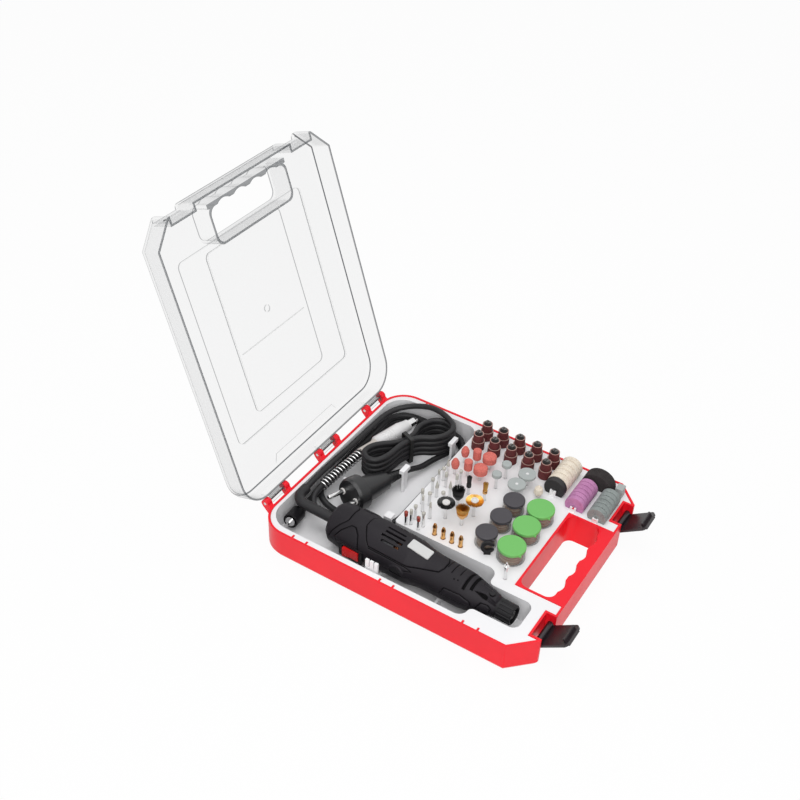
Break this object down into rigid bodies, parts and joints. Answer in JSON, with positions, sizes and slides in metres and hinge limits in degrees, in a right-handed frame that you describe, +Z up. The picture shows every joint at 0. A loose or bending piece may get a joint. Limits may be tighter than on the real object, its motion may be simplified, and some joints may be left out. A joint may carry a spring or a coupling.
{
  "type": "rotary tool with flexible shaft in a fitted case",
  "caption": "Corded rotary tool and flexible shaft lying in a hinged carrying case with a clear lid, surrounded by grinding, sanding, cutting and polishing accessories.",
  "frame": {"origin": "middle of the case's underside", "axes": "+X along the hinge away from the tool, +Y from the handle to the hinge, +Z up"},
  "size_m": [0.245, 0.4263, 0.3144],
  "materials": {
    "case_red": "moulded red case plastic, fine satin",
    "tray_white": "white formed tray sheet",
    "lid_clear": "clear stiff lid plastic",
    "latch_black": "black moulded latch",
    "steel": "plain turned steel",
    "chrome": "bright plated steel",
    "sanding": "red-brown abrasive cloth",
    "drum_rubber": "black rubber drum on a steel mandrel",
    "stone": "pink and grey bonded grit",
    "bristle": "brass wire and black bristle",
    "diamond": "diamond-coated heads",
    "brass": "turned brass",
    "pot_clear": "clear pot plastic",
    "pot_lid": "black and green pot lids",
    "disc_pack": "brown and tan abrasive discs",
    "felt": "cream pressed felt",
    "pink_grit": "pink abrasive wheels",
    "green_grit": "grey-green abrasive wheels",
    "disc_black": "dark resin cut-off discs",
    "rubber_black": "black rubber",
    "tool_black": "black moulded housing",
    "switch_red": "red rocker",
    "black_plastic": "black plastic",
    "iron": "laminated iron",
    "copper": "enamelled copper wire",
    "carbon": "carbon",
    "cord_black": "black cord jacket",
    "tie_black": "black tie"
  },
  "bodies": {
    "case": {"base_shell": "case_red", "tray": "tray_white", "case_pins": "steel", "collet_spanner": "black_plastic", "drum_mandrels": "drum_rubber", "sanding_sleeves": "sanding", "accessory_shanks": "chrome", "grinding_stones": "stone", "brush_heads": "bristle", "burr_heads": "diamond", "collets": "brass", "felt_wheels": "felt", "rubber_wheel": "rubber_black", "pink_wheels": "pink_grit", "green_wheels": "green_grit", "cutoff_discs": "disc_black", "disc_pots": "pot_clear", "pot_lids": "pot_lid", "disc_packs": "disc_pack"},
    "lid": {"lid": "lid_clear"},
    "latch_left": {"latch_left": "latch_black"},
    "latch_right": {"latch_right": "latch_black"},
    "flex_shaft": {"flex_hose": "cord_black", "flex_spring": "chrome", "handpiece_neck": "chrome", "handpiece_sleeve": "chrome", "handpiece_bearings": "steel", "flex_coupling": "black_plastic"},
    "tool": {"housing_upper": "tool_black", "housing_lower": "tool_black", "housing_screws": "steel", "nose_sleeve": "black_plastic", "stator_core": "iron", "field_coils": "copper", "carbon_brushes": "carbon", "brush_holders": "brass", "brush_springs": "steel", "brush_caps": "black_plastic", "bearings": "steel", "switch_body": "black_plastic", "cord_clamp": "black_plastic", "cord_boot": "cord_black", "power_cord": "cord_black", "cord_hank": "cord_black", "cord_tie": "tie_black", "plug_body": "black_plastic", "plug_pins": "chrome", "lock_spring": "steel"},
    "spindle": {"armature_shaft": "steel", "armature_core": "iron", "armature_windings": "copper", "commutator": "copper", "cooling_fan": "black_plastic", "drive_coupling": "black_plastic", "output_spindle": "steel", "collet_nut": "chrome"},
    "rocker": {"switch_rocker": "switch_red"},
    "spindle_lock": {"lock_button": "black_plastic"},
    "chuck": {"handpiece_chuck": "chrome"},
    "drive": {"drive_tip": "chrome"}
  },
  "joints": [
    {"name": "lid_hinge", "type": "hinge", "parent": "case", "child": "lid", "pos_m": [0, 0.1498, 0.034], "axis": [-1, 0, 0], "range_deg": [-107.7, 0]},
    {"name": "latch_left_hinge", "type": "hinge", "parent": "case", "child": "latch_left", "pos_m": [-0.0835, -0.1394, 0.022], "axis": [1, 0, 0], "range_deg": [-55, 50]},
    {"name": "latch_right_hinge", "type": "hinge", "parent": "case", "child": "latch_right", "pos_m": [0.0835, -0.1394, 0.022], "axis": [1, 0, 0], "range_deg": [-55, 50]},
    {"name": "flex_shaft_lift", "type": "slide", "parent": "case", "child": "flex_shaft", "axis": [0, 0, 1], "range_m": [0, 0.05]},
    {"name": "tool_lift", "type": "slide", "parent": "flex_shaft", "child": "tool", "axis": [0, 0, 1], "range_m": [0, 0.05]},
    {"name": "spindle_spin", "type": "hinge", "parent": "tool", "child": "spindle", "pos_m": [-0.08012, -0.01589, 0.0275], "axis": [-0.0462, -0.9989, 0], "continuous": true},
    {"name": "switch_rock", "type": "hinge", "parent": "tool", "child": "rocker", "pos_m": [-0.09621, 0.05192, 0.0235], "axis": [0, 0, 1], "range_deg": [-16, 0]},
    {"name": "lock_press", "type": "slide", "parent": "tool", "child": "spindle_lock", "axis": [0, 0, -1], "range_m": [0, 0.0012], "stiffness_N_per_m": 400, "springref_m": -0.0008, "deforming": ["lock_spring"]},
    {"name": "chuck_spin", "type": "hinge", "parent": "flex_shaft", "child": "chuck", "pos_m": [0.07779, 0.10618, 0.02586], "axis": [0.9698, -0.2437, 0.0076], "continuous": true},
    {"name": "drive_spin", "type": "hinge", "parent": "flex_shaft", "child": "drive", "pos_m": [-0.08634, 0.12726, 0.01647], "axis": [0.9668, 0.167, -0.1934], "continuous": true}
  ],
  "couplings": [
    {"joint": "drive_spin", "follows": "chuck_spin", "ratio": 1}
  ]
}
